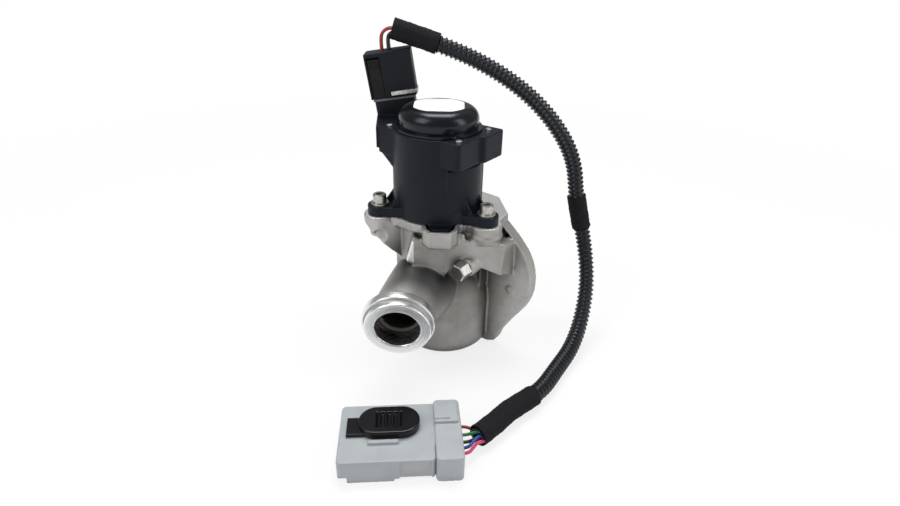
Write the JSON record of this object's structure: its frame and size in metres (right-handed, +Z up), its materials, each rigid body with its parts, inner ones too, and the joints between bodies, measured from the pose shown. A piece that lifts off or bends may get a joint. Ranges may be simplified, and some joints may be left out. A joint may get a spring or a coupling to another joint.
{
  "type": "exhaust gas recirculation valve",
  "caption": "Solenoid exhaust gas valve: cast aluminium housing with a ringed inlet pipe and side outlet pad, black actuator, leaning plug and a taped loom to a flat pale connector",
  "frame": {"origin": "on the valve stem's axis, on the flat foot of the casting, which is also the surface that it stands on", "axes": "Z up along the stem, X to the right and Y away as seen by a viewer who faces the inlet pipe"},
  "size_m": [0.1497, 0.1678, 0.1932],
  "materials": {
    "cast_aluminium": "as cast, machined at the inlet ring and the outlet pad",
    "plated_steel": "zinc plated",
    "bright_steel": "bright turned",
    "spring_steel": "drawn wire",
    "bronze": "sintered",
    "tinned_brass": "tin plated",
    "copper_wire": "enamelled",
    "zinc_screw": "zinc plated",
    "black_rubber": "moulded",
    "grey_seal": "moulded",
    "black_moulding": "fine satin, glass filled",
    "black_cap": "satin",
    "black_plug": "satin",
    "black_latch": "satin",
    "black_lock": "satin",
    "black_conduit": "ribbed sleeve",
    "cloth_tape": "woven, wrapped on the slant",
    "natural_nylon": "moulded",
    "pale_connector": "satin",
    "red_insulation": "smooth",
    "green_insulation": "smooth",
    "black_insulation": "smooth",
    "blue_insulation": "smooth",
    "pink_insulation": "smooth"
  },
  "bodies": {
    "valve_body": {"actuator_cap": "black_cap", "actuator_housing": "black_moulding", "actuator_o_ring": "black_rubber", "actuator_screw_1": "zinc_screw", "actuator_screw_2": "zinc_screw", "actuator_screw_3": "zinc_screw", "actuator_washer_1": "zinc_screw", "actuator_washer_2": "zinc_screw", "actuator_washer_3": "zinc_screw", "cap_rivet_1": "bright_steel", "cap_rivet_2": "bright_steel", "cap_rivet_3": "bright_steel", "cap_rivet_4": "bright_steel", "clip_bar": "bright_steel", "coil_bobbin": "natural_nylon", "coil_winding": "copper_wire", "conduit": "black_conduit", "connector_cover": "pale_connector", "connector_seal": "grey_seal", "connector_shell": "pale_connector", "connector_terminals": "tinned_brass", "core_plug": "plated_steel", "housing_plug_screw": "bright_steel", "loom_plug_insert": "black_plug", "loom_plug_seal": "grey_seal", "loom_plug_shell": "black_plug", "pole_piece": "plated_steel", "return_spring": "spring_steel", "sensor_housing": "black_moulding", "socket_pins": "tinned_brass", "stem_guide_bush": "bronze", "stem_seal": "black_rubber", "tape_middle": "cloth_tape", "tape_plug_end": "cloth_tape", "tape_valve_end": "cloth_tape", "valve_housing": "cast_aluminium", "valve_seat": "bright_steel", "wire_black": "black_insulation", "wire_blue": "blue_insulation", "wire_green": "green_insulation", "wire_pink": "pink_insulation", "wire_red": "red_insulation", "yoke_can": "plated_steel", "yoke_cover": "plated_steel"},
    "valve": {"valve_stem": "bright_steel", "poppet_head": "bright_steel", "spring_seat": "bright_steel", "armature": "plated_steel", "sensor_plunger": "natural_nylon"},
    "plug_lock": {"connector_lock": "black_lock"},
    "latch": {"latch_lever": "black_latch"}
  },
  "joints": [
    {"name": "valve_lift", "type": "slide", "parent": "valve_body", "child": "valve", "axis": [0, 0, -1], "range_m": [0, 0.006], "stiffness_N_per_m": 1500, "springref_m": -0.01, "deforming": ["return_spring"]},
    {"name": "lock_slide", "type": "slide", "parent": "valve_body", "child": "plug_lock", "axis": [0.9962, 0.0872, 0], "range_m": [0, 0.006]},
    {"name": "latch_tilt", "type": "hinge", "parent": "valve_body", "child": "latch", "pos_m": [-0.03685, 0.0229, 0.16003], "axis": [-0.9877, 0, -0.1564], "range_deg": [0, 6], "stiffness_Nm_per_rad": 0.05, "springref_deg": -4.58}
  ]
}
